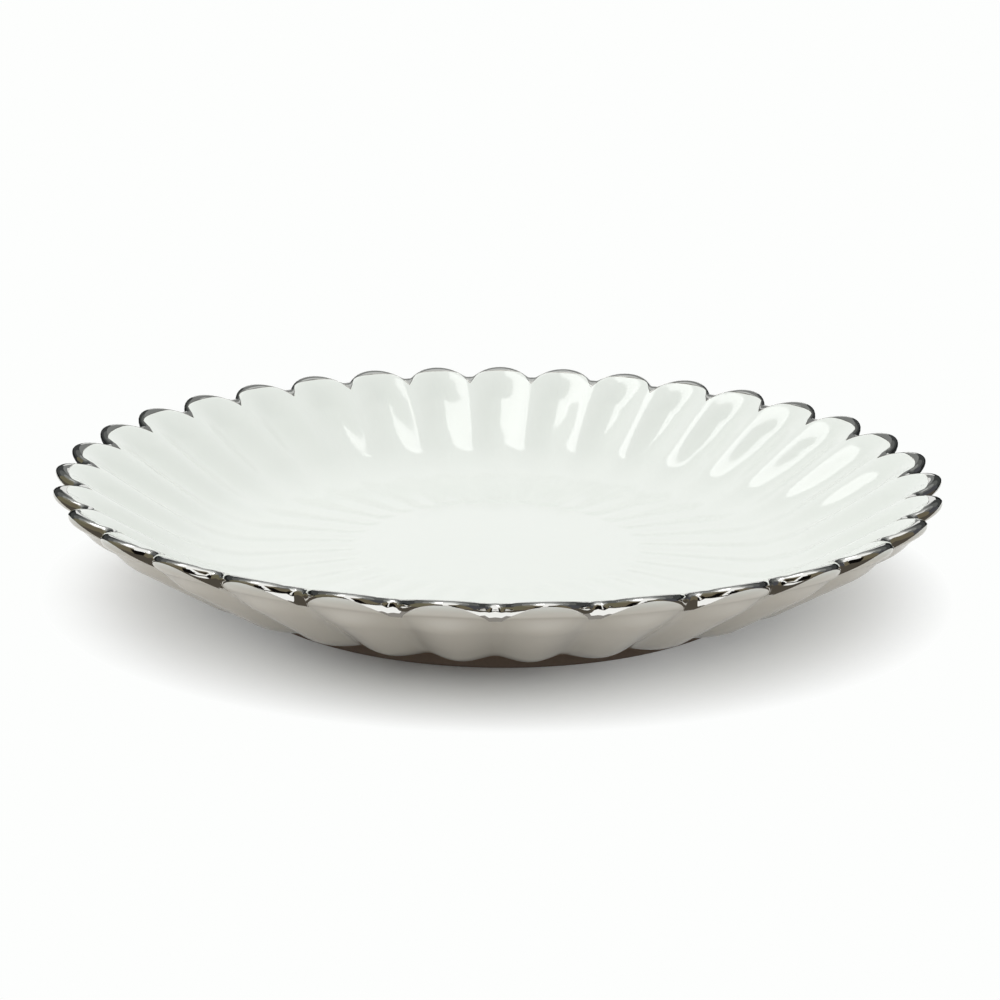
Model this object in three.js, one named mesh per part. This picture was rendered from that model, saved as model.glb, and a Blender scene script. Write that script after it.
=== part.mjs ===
// Snack dish: a glazed ceramic dish moulded like a daisy. Petal-shaped flutes run from a plain disc
// on the floor up a flared wall to a scalloped rim, and a silver band covers the rounded lip.
// Millimetres, +Z up. The origin is on the table, under the centre of the dish.
import * as THREE from "three";

// Petals
const PETALS = 33; // flutes round the dish
const PETAL_FACETS = 6; // flat facets across one petal
const PETAL_ARC_DEG = 67; // half of the arc that rounds a petal, where 90 makes a half ellipse
const PETAL_REACH = 5; // tip of a petal beyond the notches beside it, along the wall
const CREASE_SOFTNESS = 0.35; // glaze that rounds the crease between two arcs
const PETAL_SPAN = 0.9; // share of a petal's width that its arc spans, the rest is in the notches
const LOBE_WAVE = 0.55; // share of a gentle wave, and not of the arc, in the lobes outside
const FIRST_NOTCH_DEG = 149.9; // direction of the first notch, from +X

// Bowl, measured on the line that runs along the tops of the ridges between the flutes
const RIM_RADIUS = 99.7; // at a notch
const BOWL_DEPTH = 21.1; // from a notch down to the floor
const FLOOR_RADIUS = 59; // flat part of the floor
const BEND_RADIUS = 32; // between the floor and the wall
const DISC_RADIUS = 33; // plain disc in the middle of the floor

// Flutes inside, below the line of the ridges
const FLUTE_LEAD_IN = 5; // from the edge of the disc to the full flute on the floor
const FLOOR_FLUTE_DEPTH = 0.3;
const WALL_FLUTE_DEPTH = 1.7;
const TIP_FLUTE_DEPTH = 0.3; // a petal lifts a little at its tip

// Shell
const FLOOR_THICKNESS = 3.9;
const WALL_THICKNESS = 3.6; // from a ridge inside to a groove outside
const LOBE_HEIGHT = 1.9; // of a lobe outside above the grooves beside it
const LIP_THICKNESS = 3.2;
const LIP_ROUNDING = 2.2; // length of the rounded edge, along the wall
const LIP_TAPER = 9; // length over which the wall thins or swells to the lip

// Foot ring
const FOOT_HEIGHT = 2.9;
const FOOT_WIDTH = 5; // of the flat face that stands on the table
const FOOT_SET_OUT = 6.8; // outer edge of the foot beyond the flat part of the floor
const FOOT_DRAFT = 0.6; // each side leans in by this much

// Silver band, flush in a rebate round the lip
const SILVER_THICKNESS = 0.4;
const SILVER_CLEARANCE = 0.3; // between the band and its seat
const SILVER_INSIDE = 0.2; // reach below the rounded lip, inside a petal
const SILVER_TOOTH = 3.2; // further reach of each point along a ridge
const SILVER_TOOTH_SPREAD = 0.5; // share of half a petal that a point is wide at its root
const SILVER_OUTSIDE_TIP = 0.4; // reach past the front of the lip, at the tip of a petal
const SILVER_OUTSIDE_NOTCH = 4.4; // the same at a notch
const SILVER_ARCH_SPAN = 0.87; // share of a petal's width that the edge outside spans in one arch

const { clamp, lerp, degToRad } = THREE.MathUtils;

// The ridge line in section: a flat floor, a bend and a straight wall. The bend is tangent to both,
// so the slope of the wall follows from where the line ends, and a bend too wide for it is limited.
const FLOOR_TOP = FOOT_HEIGHT + FLOOR_THICKNESS;
const WALL_SPAN = RIM_RADIUS - FLOOR_RADIUS;
const WIDEST_BEND = (WALL_SPAN ** 2 + BOWL_DEPTH ** 2) / (2 * BOWL_DEPTH);
const BEND = Math.min(BEND_RADIUS, 0.9 * WIDEST_BEND);
const CENTRE_TO_RIM = Math.hypot(WALL_SPAN, BOWL_DEPTH - BEND);
const STRAIGHT_LENGTH = Math.sqrt(CENTRE_TO_RIM ** 2 - BEND ** 2);
const WALL_SLOPE = Math.atan2(BOWL_DEPTH - BEND, WALL_SPAN) + Math.atan2(BEND, STRAIGHT_LENGTH);

// Places along the ridge line, counted from the centre of the floor.
const AT_FULL_FLUTE = DISC_RADIUS + FLUTE_LEAD_IN;
const AT_WALL = FLOOR_RADIUS + BEND * WALL_SLOPE;
const AT_BEND_MIDDLE = lerp(FLOOR_RADIUS, AT_WALL, 0.5);
const AT_FOOT = FLOOR_RADIUS + 0.85 * FOOT_SET_OUT;
const AT_LOBE_MIDDLE = lerp(AT_FOOT, AT_WALL, 0.5);
const AT_NOTCH = AT_WALL + STRAIGHT_LENGTH;
const AT_TIP = AT_NOTCH + PETAL_REACH;
const AT_LIFT = AT_NOTCH - LIP_TAPER;

const PETAL_ARC = degToRad(PETAL_ARC_DEG);

// Half of the way round the lip, from its front to where it meets the wall.
const LIP_QUARTER = (Math.PI / 2) * Math.hypot(LIP_ROUNDING, LIP_THICKNESS / 2) * Math.SQRT1_2;
const SILVER_SEAT = SILVER_THICKNESS + SILVER_CLEARANCE;

// A place in the wall as radius and height: along the ridge line, then below it, square to it.
function place(along, below) {
  const turn = clamp((along - FLOOR_RADIUS) / BEND, 0, WALL_SLOPE);
  const flat = Math.min(along, FLOOR_RADIUS);
  const straight = Math.max(along - AT_WALL, 0);
  const sin = Math.sin(turn);
  const cos = Math.cos(turn);
  return {
    radius: flat + BEND * sin + straight * cos + below * sin,
    height: FLOOR_TOP + BEND * (1 - cos) + straight * sin - below * cos,
  };
}

// Rounds the crease at the foot of an arch, and keeps 0 and 1 in place.
function soften(arch) {
  const rounded = (value) => Math.hypot(value, CREASE_SOFTNESS) - CREASE_SOFTNESS;
  return rounded(arch) / rounded(1);
}

// The petal's round form: 0 at a notch and 1 in the middle of the petal.
function roundForm(across) {
  const widest = Math.sin(PETAL_ARC);
  const lowest = Math.cos(PETAL_ARC);
  const aside = widest * Math.min(Math.abs(across) / PETAL_SPAN, 1);
  return soften((Math.sqrt(1 - aside ** 2) - lowest) / (1 - lowest));
}

// One column of the dish runs from its centre to its rim. Those of a petal lie closest together
// beside the notches. across is -1 and 1 at the notches and 0 in the middle of a petal. flute, lip
// and lobe are the petal's form inside, along the lip and outside: 0 at a notch, 1 in the middle.
function makeColumns() {
  const columns = [];
  for (let petal = 0; petal < PETALS; petal++) {
    for (let facet = 0; facet < PETAL_FACETS; facet++) {
      const angle = PETAL_ARC * ((2 * facet) / PETAL_FACETS - 1);
      const across = Math.sin(angle) / Math.sin(PETAL_ARC);
      const arc = roundForm(across);
      const wave = (1 + Math.cos(Math.PI * across)) / 2;
      columns.push({
        across,
        flute: wave,
        lip: arc,
        lobe: lerp(arc, wave, LOBE_WAVE),
        turn: degToRad(FIRST_NOTCH_DEG) + ((petal + (across + 1) / 2) * 2 * Math.PI) / PETALS,
      });
    }
  }
  return columns;
}

const COLUMNS = makeColumns();

// Share of the way from one place to another, held between 0 and 1.
function share(value, from, to) {
  return clamp((value - from) / (to - from), 0, 1);
}

// Where the rounded lip starts, which the scallops carry out and back along the wall.
function lipStart(column) {
  return AT_NOTCH + PETAL_REACH * column.lip - LIP_ROUNDING;
}

// Share of the taper that a place has behind it, on the way up to the rounded lip.
function nearLip(along, column) {
  return share(along, lipStart(column) - LIP_TAPER, lipStart(column));
}

// Depth of the inside below the ridge line.
function inside(along, column) {
  const onFloor = FLOOR_FLUTE_DEPTH * share(along, DISC_RADIUS, AT_FULL_FLUTE);
  const onWall = lerp(onFloor, WALL_FLUTE_DEPTH, share(along, FLOOR_RADIUS, AT_WALL));
  const depth = lerp(onWall, TIP_FLUTE_DEPTH, share(along, AT_LIFT, AT_TIP) ** 2);
  return depth * lerp(column.flute, column.lip, nearLip(along, column));
}

// Depth of the outside below the ridge line. The lobes die out at the floor, above the foot, and
// the wall thins or swells to meet the rounded lip.
function outside(along, column) {
  const upWall = share(along, FLOOR_RADIUS, AT_WALL);
  const thickness = lerp(FLOOR_THICKNESS, WALL_THICKNESS, upWall);
  const lobed = thickness + LOBE_HEIGHT * column.lobe * upWall;
  return lerp(lobed, inside(along, column) + LIP_THICKNESS, nearLip(along, column));
}

// A place on the lip. path is the way from the front of the lip, negative towards the inside of
// the dish, and sunk is the depth of that place under the surface.
function lip(column, path, sunk) {
  const start = lipStart(column);
  const beyond = Math.abs(path) - LIP_QUARTER;
  if (beyond > 0) {
    const along = start - beyond;
    if (path < 0) {
      return place(along, inside(along, column) + sunk);
    }
    return place(along, outside(along, column) - sunk);
  }
  const angle = (Math.PI / 2) * (path / LIP_QUARTER);
  const middle = inside(start, column) + LIP_THICKNESS / 2;
  return place(
    start + (LIP_ROUNDING - sunk) * Math.cos(angle),
    middle + (LIP_THICKNESS / 2 - sunk) * Math.sin(angle),
  );
}

// The two edges of the silver, as ways from the front of the lip.
function silverInside(column) {
  const tooth = share(Math.abs(column.across), 1 - SILVER_TOOTH_SPREAD, 1) ** 2;
  return -(LIP_QUARTER + SILVER_INSIDE + SILVER_TOOTH * tooth);
}

function silverOutside(column) {
  const aside = Math.min(Math.abs(column.across) / SILVER_ARCH_SPAN, 1);
  return lerp(SILVER_OUTSIDE_NOTCH, SILVER_OUTSIDE_TIP, Math.sqrt(1 - aside ** 2));
}

// Ways round the lip on which both the silver and its seat have a ring of corners, so that their
// facets lie side by side.
const SILVER_RINGS = [
  silverInside,
  () => -LIP_QUARTER,
  () => -LIP_QUARTER / 2,
  () => 0,
  (column) => silverOutside(column) / 2,
  silverOutside,
];

// Skins rings of corners, each with one corner to a column, into a closed solid. Rings that start
// and end on the axis close at a point there, and others close round on the first ring.
function loft(rings) {
  const positions = [];
  const index = [];
  const corner = (ring, j) => ring[j % ring.length];
  const numbered = rings.map((ring) => {
    const onAxis = ring(COLUMNS[0]).radius === 0;
    return (onAxis ? COLUMNS.slice(0, 1) : COLUMNS).map((column) => {
      const { radius, height } = ring(column);
      positions.push(radius * Math.cos(column.turn), radius * Math.sin(column.turn), height);
      return positions.length / 3 - 1;
    });
  });
  const closesOnAxis = numbered[0].length === 1;
  const bands = closesOnAxis ? numbered.length - 1 : numbered.length;
  for (let i = 0; i < bands; i++) {
    const here = numbered[i];
    const next = numbered[(i + 1) % numbered.length];
    for (let j = 0; j < COLUMNS.length; j++) {
      const a = corner(here, j);
      const b = corner(next, j);
      const c = corner(next, j + 1);
      const d = corner(here, j + 1);
      if (a === d) {
        index.push(a, b, c);
      } else if (b === c) {
        index.push(a, b, d);
      } else if (COLUMNS[j].across < 0) {
        index.push(a, b, c, a, c, d);
      } else {
        index.push(a, b, d, b, c, d);
      }
    }
  }
  const geometry = new THREE.BufferGeometry();
  geometry.setAttribute("position", new THREE.Float32BufferAttribute(positions, 3));
  geometry.setIndex(index);
  geometry.computeVertexNormals();
  return geometry;
}

const onAxis = (height) => () => ({ radius: 0, height });
const onInside = (along) => (column) => place(along, inside(along, column));
const onOutside = (along) => (column) => place(along, outside(along, column));
const onFoot = (radius, height) => () => ({ radius, height });

// The body in section: up the inside from the centre of the floor, over the rebated lip, down the
// outside, round the foot ring and back to the axis under the floor.
function makeBody() {
  const footOuter = FLOOR_RADIUS + FOOT_SET_OUT;
  const footInner = footOuter - FOOT_WIDTH - 2 * FOOT_DRAFT;
  const wallMiddle = (column) => {
    const silverEnds = lipStart(column) + LIP_QUARTER + silverInside(column);
    const along = lerp(AT_WALL, silverEnds, 0.5);
    return place(along, inside(along, column));
  };
  const lipEnd = (column) => Math.max(LIP_QUARTER, silverOutside(column)) + SILVER_SEAT;
  const lipShoulder = (column) => lerp(silverOutside(column), lipEnd(column), 0.5);
  const taperStart = (column) => {
    const along = lipStart(column) - LIP_TAPER;
    return place(along, outside(along, column));
  };
  return loft([
    onAxis(FLOOR_TOP),
    onInside(DISC_RADIUS),
    onInside(AT_FULL_FLUTE),
    onInside(FLOOR_RADIUS),
    onInside(AT_BEND_MIDDLE),
    onInside(AT_WALL),
    wallMiddle,
    (column) => lip(column, silverInside(column) - SILVER_CLEARANCE, 0),
    (column) => lip(column, silverInside(column) - SILVER_CLEARANCE, SILVER_SEAT),
    ...SILVER_RINGS.slice(1, -1).map((path) => (column) => lip(column, path(column), SILVER_SEAT)),
    (column) => lip(column, silverOutside(column) + SILVER_CLEARANCE, SILVER_SEAT),
    (column) => lip(column, silverOutside(column) + SILVER_CLEARANCE, 0),
    (column) => lip(column, lipShoulder(column), 0),
    (column) => lip(column, lipEnd(column), 0),
    taperStart,
    onOutside(AT_WALL),
    onOutside(AT_LOBE_MIDDLE),
    onOutside(AT_FOOT),
    onFoot(footOuter, FOOT_HEIGHT),
    onFoot(footOuter - FOOT_DRAFT, 0),
    onFoot(footInner + FOOT_DRAFT, 0),
    onFoot(footInner, FOOT_HEIGHT),
    onAxis(FOOT_HEIGHT),
  ]);
}

// The silver band in section: over the lip on the surface, and back under it on its own underside.
function makeSilver() {
  const surface = SILVER_RINGS.map((path) => (column) => lip(column, path(column), 0));
  const underside = SILVER_RINGS.map(
    (path) => (column) => lip(column, path(column), SILVER_THICKNESS),
  );
  return loft([...surface, ...underside.reverse()]);
}

const whiteGlaze = new THREE.MeshStandardMaterial({
  color: 0xedf0e9,
  roughness: 0.12,
  metalness: 0,
});
const silverLustre = new THREE.MeshStandardMaterial({
  color: 0xc8c8c4,
  roughness: 0.1,
  metalness: 1,
});

const body = new THREE.Mesh(makeBody(), whiteGlaze);
body.name = "dish_body";

const silver = new THREE.Mesh(makeSilver(), silverLustre);
silver.name = "silver_rim";

const dish = new THREE.Group();
dish.name = "snack_dish";
dish.add(body, silver);

export default dish;
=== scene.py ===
"""Snack dish: a glazed ceramic dish moulded like a daisy, with a silver lustre band on its lip."""

import math

import bpy
from bpy.props import (
    FloatProperty,
    FloatVectorProperty,
    IntProperty,
    PointerProperty,
    StringProperty,
)
from mathutils import Matrix, Vector


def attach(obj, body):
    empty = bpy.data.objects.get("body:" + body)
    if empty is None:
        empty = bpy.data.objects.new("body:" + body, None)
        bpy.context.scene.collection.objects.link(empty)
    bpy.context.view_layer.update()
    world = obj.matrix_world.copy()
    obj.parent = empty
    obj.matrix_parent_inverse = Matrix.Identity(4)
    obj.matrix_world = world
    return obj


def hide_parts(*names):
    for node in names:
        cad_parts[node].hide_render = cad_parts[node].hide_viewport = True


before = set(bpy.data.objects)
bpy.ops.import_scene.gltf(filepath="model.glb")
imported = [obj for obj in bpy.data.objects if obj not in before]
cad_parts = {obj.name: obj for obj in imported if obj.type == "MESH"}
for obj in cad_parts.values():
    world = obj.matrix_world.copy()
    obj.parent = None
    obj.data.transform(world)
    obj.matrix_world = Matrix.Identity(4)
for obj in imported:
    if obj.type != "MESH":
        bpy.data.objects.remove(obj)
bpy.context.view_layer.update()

bl_info = {
    "name": "Snack dish",
    "version": (1, 0, 0),
    "blender": (4, 5, 0),
    "location": "3D View > Sidebar > Dish",
    "description": "Builds a fluted dish with a silver lip around its packed CAD frame",
    "category": "Add Mesh",
}

MM = 0.001
BODY = "root"
MATH = "ShaderNodeMath"
# Points closer than this are one point, at the seams and on the axis
MERGE_GAP = 0.002 * MM
# The underside of the silver film lies this far in the glaze
FILM_FOOTING = 0.04 * MM
# Slack that tells the rows at the edges of the film from the others
ROW_GAP = 1e-4
# Above 1, the points of the silver have hollow sides
TOOTH_CURVE = 1.6


def length(name, description, millimetres):
    """A size in metres for a panel, from its value in millimetres."""
    return FloatProperty(
        name=name,
        description=description,
        default=millimetres * MM,
        min=0.0,
        precision=5,
        unit="LENGTH",
    )


def factor(name, description, value):
    """A share for a panel, as a part of 1."""
    return FloatProperty(name=name, description=description, default=value, subtype="FACTOR")


def angle(name, description, degrees):
    """An angle for a panel, from its value in degrees."""
    return FloatProperty(
        name=name, description=description, default=math.radians(degrees), subtype="ANGLE"
    )


def colour(name, description, value):
    """A colour for a panel, as an sRGB hex value."""
    return StringProperty(name=name, description=description, default=value)


class DishShape(bpy.types.PropertyGroup):
    """Sizes of the ceramic body. The bowl is measured on the line along the tops of the ridges."""

    petals: IntProperty(name="Petals", description="Flutes round the dish", default=33, min=5)
    columns: IntProperty(name="Columns", description="Mesh columns in a petal", default=20, min=4)
    petal_arc: angle(
        "Petal arc", "Half of the arc that rounds a petal: small is a parabola, 90 an ellipse", 67
    )
    petal_span: factor(
        "Petal span", "Share of a petal's width that its arc spans, the rest is in the notches", 0.9
    )
    petal_reach: length("Petal reach", "Tip of a petal beyond its notches, along the wall", 5.0)
    first_notch: angle("First notch", "Direction of the first notch, from +X", 149.9)
    unevenness: factor(
        "Unevenness", "Share by which a hand-finished petal may fall short of the others", 0.03
    )
    seed: IntProperty(name="Seed", description="Picks which petals fall short", default=7)
    rim_radius: length("Rim radius", "At a notch", 99.6)
    bowl_depth: length("Bowl depth", "From a notch down to the floor", 21.06)
    floor_radius: length("Floor radius", "Flat part of the floor", 59)
    bend_radius: length("Bend radius", "Between the floor and the wall", 32)
    disc_radius: length("Disc radius", "Plain disc in the middle of the floor", 33)
    flute_lead_in: length("Flute lead-in", "From the disc to the full flute on the floor", 5)
    floor_flute: length("Floor flute", "Depth of a flute on the floor", 0.3)
    wall_flute: length("Wall flute", "Depth of a flute on the wall", 2.4)
    flute_rise: length("Flute rise", "How far up the wall a flute gets its full depth", 14.0)
    tip_flute: length("Tip flute", "Depth of a flute at the tip of a petal", 0.97)
    softness: FloatProperty(
        name="Softness", description="Glaze that rounds the creases between arcs", default=0.35
    )
    flute_wave: factor(
        "Flute wave", "Share of a wave, not an arc, in the form of a flute inside", 0.88
    )
    lobe_wave: factor("Lobe wave", "The same share in the lobes outside", 0.55)
    floor_thickness: length("Floor thickness", "Shell at the floor", 3.9)
    wall_thickness: length("Wall thickness", "From a ridge inside to a groove outside", 3.6)
    lobe_height: length("Lobe height", "Of a lobe outside above its grooves", 1.9)
    lip_thickness: length("Lip thickness", "Of the rounded edge", 3.2)
    lip_rounding: length("Lip rounding", "Length of the rounded edge along the wall", 2.6)
    lip_taper: length("Lip taper", "Where the wall thins to the lip", 9)
    foot_height: length("Foot height", "Of the ring that the dish stands on", 2.9)
    foot_width: length("Foot width", "Of the face on the table", 5)
    foot_set_out: length("Foot set-out", "Outer edge beyond the flat floor", 6.8)
    foot_draft: length("Foot draft", "Each side leans in by this much", 0.6)
    foot_rounding: length("Foot rounding", "Of the edges wiped clean of glaze", 0.45)


class SilverShape(bpy.types.PropertyGroup):
    """Sizes of the silver lustre band, measured round the lip from its front."""

    film: length("Film", "Thickness of the fired lustre, drawn thick enough to model", 0.08)
    inside_tip: length("Inside tip", "Reach inside from the lip's front, at a petal's tip", 3.3)
    inside_flank: length("Inside flank", "The same beside the tip", 1.0)
    crescent_span: factor(
        "Crescent span", "Share of a petal's width over which the reach at the tip dwindles", 0.75
    )
    tooth: length("Tooth", "Further reach of the points along the ridges", 3.6)
    tooth_spread: factor(
        "Tooth spread", "Share of half a petal that a point is wide at its root", 0.36
    )
    arch_span: factor(
        "Arch span", "Share of a petal's width that the edge outside spans in one arch", 0.87
    )
    outside_tip: length("Outside tip", "Reach past the front of the lip at a petal's tip", 0.1)
    outside_notch: length("Outside notch", "Reach past the front of the lip at a notch", 4.4)
    brush_wobble: length("Brush wobble", "How far the painted edge strays", 0.35)
    rows: IntProperty(name="Rows", description="Mesh rows across the band", default=30, min=4)


class DishFinish(bpy.types.PropertyGroup):
    """Colours of the finishes."""

    glaze: colour("Glaze", "White tin glaze", "#edf0e9")
    pooled: colour("Pooled glaze", "Glaze that ran thick into the flutes", "#eaeee6")
    # The clay's dark brown also paints in the shade that falls on the foot ring under the dish
    clay: colour("Clay", "Bare fired clay of the foot ring", "#8f7d6d")
    grit: colour("Grit", "Darker grains in the clay", "#7d6c5e")
    silver: colour("Silver", "Lustre in a full coat", "#f0efec")
    thin_silver: colour("Thin silver", "Lustre where the brush left little", "#cfc9c0")


class StageSettings(bpy.types.PropertyGroup):
    """Camera and studio."""

    target: FloatVectorProperty(
        name="Target",
        description="Point that the camera looks at",
        default=(0.00044, 0, 0.0176),
        subtype="TRANSLATION",
    )
    distance: length("Distance", "From the camera to the target", 396.5)
    elevation: angle("Elevation", "Of the camera", 16.56)
    roll: angle("Roll", "Of the camera, right side up", 0.634)
    lens: FloatProperty(name="Lens", description="On a 36 mm sensor", default=58.04, unit="CAMERA")
    sky: FloatProperty(name="Sky", description="Even light from all round", default=0.685)
    sky_tint: colour("Sky tint", "Colour of that light", "#f4f6f8")
    floor: colour("Floor", "Paper sweep as the eye sees it", "#fdfefd")
    floor_bounce: colour("Floor bounce", "Light that the sweep gives back", "#c3b7ad")
    # A darker colour for the light given back beside the foot: painted shade under the dish
    floor_contact_shade: colour("Floor contact", "The same light right beside the foot", "#4a4039")


def linear(hex_colour):
    """Turns an sRGB hex value into linear red, green, blue and alpha."""
    parts = [int(hex_colour[i : i + 2], 16) / 255 for i in (1, 3, 5)]
    light = [p / 12.92 if p <= 0.04045 else ((p + 0.055) / 1.055) ** 2.4 for p in parts]
    return (*light, 1.0)


def add_node(tree, kind, settings=None, links=None):
    """Adds a node with its settings, and fills its inputs with values, sockets or nodes."""
    node = tree.nodes.new(kind)
    for name, value in (settings or {}).items():
        setattr(node, name, value)
    for name, value in (links or {}).items():
        if isinstance(value, bpy.types.Node):
            value = value.outputs[0]
        if isinstance(value, bpy.types.NodeSocket):
            tree.links.new(value, node.inputs[name])
        else:
            node.inputs[name].default_value = value
    return node


def new_tree(name, inputs, outputs):
    """A geometry node tree with its group inputs and outputs, given as (name, socket type)."""
    tree = bpy.data.node_groups.new(name, "GeometryNodeTree")
    for in_out, sockets in (("INPUT", inputs), ("OUTPUT", outputs)):
        for label, kind in sockets:
            tree.interface.new_socket(label, in_out=in_out, socket_type=kind)
    return tree, add_node(tree, "NodeGroupInput").outputs


FLOAT = "NodeSocketFloat"
INT = "NodeSocketInt"
GEOMETRY = "NodeSocketGeometry"
PETAL_INPUTS = [
    ("Petals", INT),
    ("Columns", INT),
    ("Petal Arc", FLOAT),
    ("Petal Span", FLOAT),
    ("Softness", FLOAT),
    ("First Notch", FLOAT),
    ("Unevenness", FLOAT),
    ("Seed", INT),
]


def soften(tree, arch, softness):
    """Rounds the crease of the arch at a notch, as glaze does, and keeps 0 and 1 in place."""
    square = add_node(tree, MATH, {"operation": "MULTIPLY"}, {0: softness, 1: softness})
    reach = []
    for value in (arch, 1.0):
        both = add_node(tree, MATH, {"operation": "MULTIPLY_ADD"}, {0: value, 1: value, 2: square})
        root = add_node(tree, MATH, {"operation": "SQRT"}, {0: both})
        reach.append(add_node(tree, MATH, {"operation": "SUBTRACT"}, {0: root, 1: softness}))
    return add_node(tree, MATH, {"operation": "DIVIDE"}, {0: reach[0], 1: reach[1]})


def petal_tree():
    """For a mesh column: its turn round the dish, its place across a petal, and two forms that rise
    from 0 at a notch to 1 in the middle of the petal, a round arc and a gentler wave."""
    tree, given = new_tree(
        "Petal form",
        [("Column", FLOAT), *PETAL_INPUTS],
        [("Turn", FLOAT), ("Across", FLOAT), ("Arc", FLOAT), ("Wave", FLOAT)],
    )
    arc = given["Petal Arc"]
    step = add_node(tree, MATH, {"operation": "DIVIDE"}, {0: given["Column"], 1: given["Columns"]})
    petal = add_node(tree, MATH, {"operation": "FLOOR"}, {0: step})
    part = add_node(tree, MATH, {"operation": "FRACT"}, {0: step})
    swing = add_node(tree, MATH, {"operation": "MULTIPLY_ADD"}, {0: part, 1: 2.0, 2: -1.0})
    swung = add_node(tree, MATH, {"operation": "MULTIPLY"}, {0: swing, 1: arc})
    sine = add_node(tree, MATH, {"operation": "SINE"}, {0: swung})
    widest = add_node(tree, MATH, {"operation": "SINE"}, {0: arc})
    across = add_node(tree, MATH, {"operation": "DIVIDE"}, {0: sine, 1: widest})
    aside = add_node(tree, MATH, {"operation": "ABSOLUTE"}, {0: across})
    spanned = add_node(
        tree,
        "ShaderNodeMapRange",
        {},
        {"Value": aside, "From Max": given["Petal Span"], "To Max": widest},
    )
    square = add_node(tree, MATH, {"operation": "MULTIPLY"}, {0: spanned, 1: spanned})
    rest = add_node(tree, MATH, {"operation": "SUBTRACT"}, {0: 1.0, 1: square})
    cosine = add_node(tree, MATH, {"operation": "SQRT"}, {0: rest})
    lowest = add_node(tree, MATH, {"operation": "COSINE"}, {0: arc})
    arch = add_node(tree, "ShaderNodeMapRange", {}, {"Value": cosine, "From Min": lowest})
    number = add_node(tree, MATH, {"operation": "FLOORED_MODULO"}, {0: petal, 1: given["Petals"]})
    least = add_node(tree, MATH, {"operation": "SUBTRACT"}, {0: 1.0, 1: given["Unevenness"]})
    full = add_node(
        tree,
        "FunctionNodeRandomValue",
        {"data_type": "FLOAT"},
        {2: least, 3: 1.0, "ID": number, "Seed": given["Seed"]},
    )
    soft = soften(tree, arch, given["Softness"])
    round_form = add_node(tree, MATH, {"operation": "MULTIPLY"}, {0: soft, 1: full.outputs[1]})
    swell = add_node(tree, MATH, {"operation": "MULTIPLY"}, {0: across, 1: math.pi})
    crest = add_node(tree, MATH, {"operation": "COSINE"}, {0: swell})
    wave = add_node(tree, MATH, {"operation": "MULTIPLY_ADD"}, {0: crest, 1: 0.5, 2: 0.5})
    wave_form = add_node(tree, MATH, {"operation": "MULTIPLY"}, {0: wave, 1: full.outputs[1]})
    half = add_node(tree, MATH, {"operation": "MULTIPLY_ADD"}, {0: across, 1: 0.5, 2: 0.5})
    place = add_node(tree, MATH, {"operation": "ADD"}, {0: petal, 1: half})
    pitch = add_node(tree, MATH, {"operation": "DIVIDE"}, {0: math.tau, 1: given["Petals"]})
    turn = add_node(
        tree, MATH, {"operation": "MULTIPLY_ADD"}, {0: place, 1: pitch, 2: given["First Notch"]}
    )
    add_node(
        tree,
        "NodeGroupOutput",
        {},
        {"Turn": turn, "Across": across, "Arc": round_form, "Wave": wave_form},
    )
    return tree


def mesh_columns(tree, given, rows):
    """A grid with a column for each step round the dish, and the row and petal place of a point."""
    wide = add_node(
        tree,
        MATH,
        {"operation": "MULTIPLY_ADD"},
        {0: given["Petals"], 1: given["Columns"], 2: 1.0},
    )
    grid = add_node(tree, "GeometryNodeMeshGrid", {}, {"Vertices X": wide, "Vertices Y": rows})
    index = add_node(tree, "GeometryNodeInputIndex")
    passed = add_node(tree, MATH, {"operation": "DIVIDE"}, {0: index, 1: rows})
    column = add_node(tree, MATH, {"operation": "FLOOR"}, {0: passed})
    row = add_node(tree, MATH, {"operation": "FLOORED_MODULO"}, {0: index, 1: rows})
    petal = add_node(
        tree,
        "GeometryNodeGroup",
        {"node_tree": bpy.data.node_groups["Petal form"]},
        {"Column": column, **{label: given[label] for label, _ in PETAL_INPUTS}},
    )
    return grid.outputs["Mesh"], row, petal.outputs


def petal_form(tree, wave, petal):
    """How far a point has swung from ridge to petal: a share of the wave, the rest of the arc."""
    return add_node(
        tree,
        "ShaderNodeMix",
        {"data_type": "FLOAT"},
        {"Factor": wave, 2: petal["Arc"], 3: petal["Wave"]},
    )


def close_round(tree, mesh, section, turn, given, mark, value):
    """Turns each point of the section to its place round the axis and closes the mesh. The mark is
    an attribute that the finish reads."""
    marked = add_node(
        tree,
        "GeometryNodeStoreNamedAttribute",
        {"data_type": "FLOAT", "domain": "POINT"},
        {"Geometry": mesh, "Name": mark, "Value": value},
    )
    spun = add_node(
        tree,
        "ShaderNodeVectorRotate",
        {"rotation_type": "Z_AXIS"},
        {"Vector": section, "Angle": turn},
    )
    placed = add_node(tree, "GeometryNodeSetPosition", {}, {"Geometry": marked, "Position": spun})
    merged = add_node(
        tree, "GeometryNodeMergeByDistance", {}, {"Geometry": placed, "Distance": MERGE_GAP}
    )
    smooth = add_node(tree, "GeometryNodeSetShadeSmooth", {}, {"Geometry": merged})
    real = add_node(tree, "GeometryNodeRealizeInstances", {}, {"Geometry": smooth})
    coated = add_node(
        tree, "GeometryNodeSetMaterial", {}, {"Geometry": real, "Material": given["Material"]}
    )
    add_node(tree, "NodeGroupOutput", {}, {"Geometry": coated})


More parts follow.
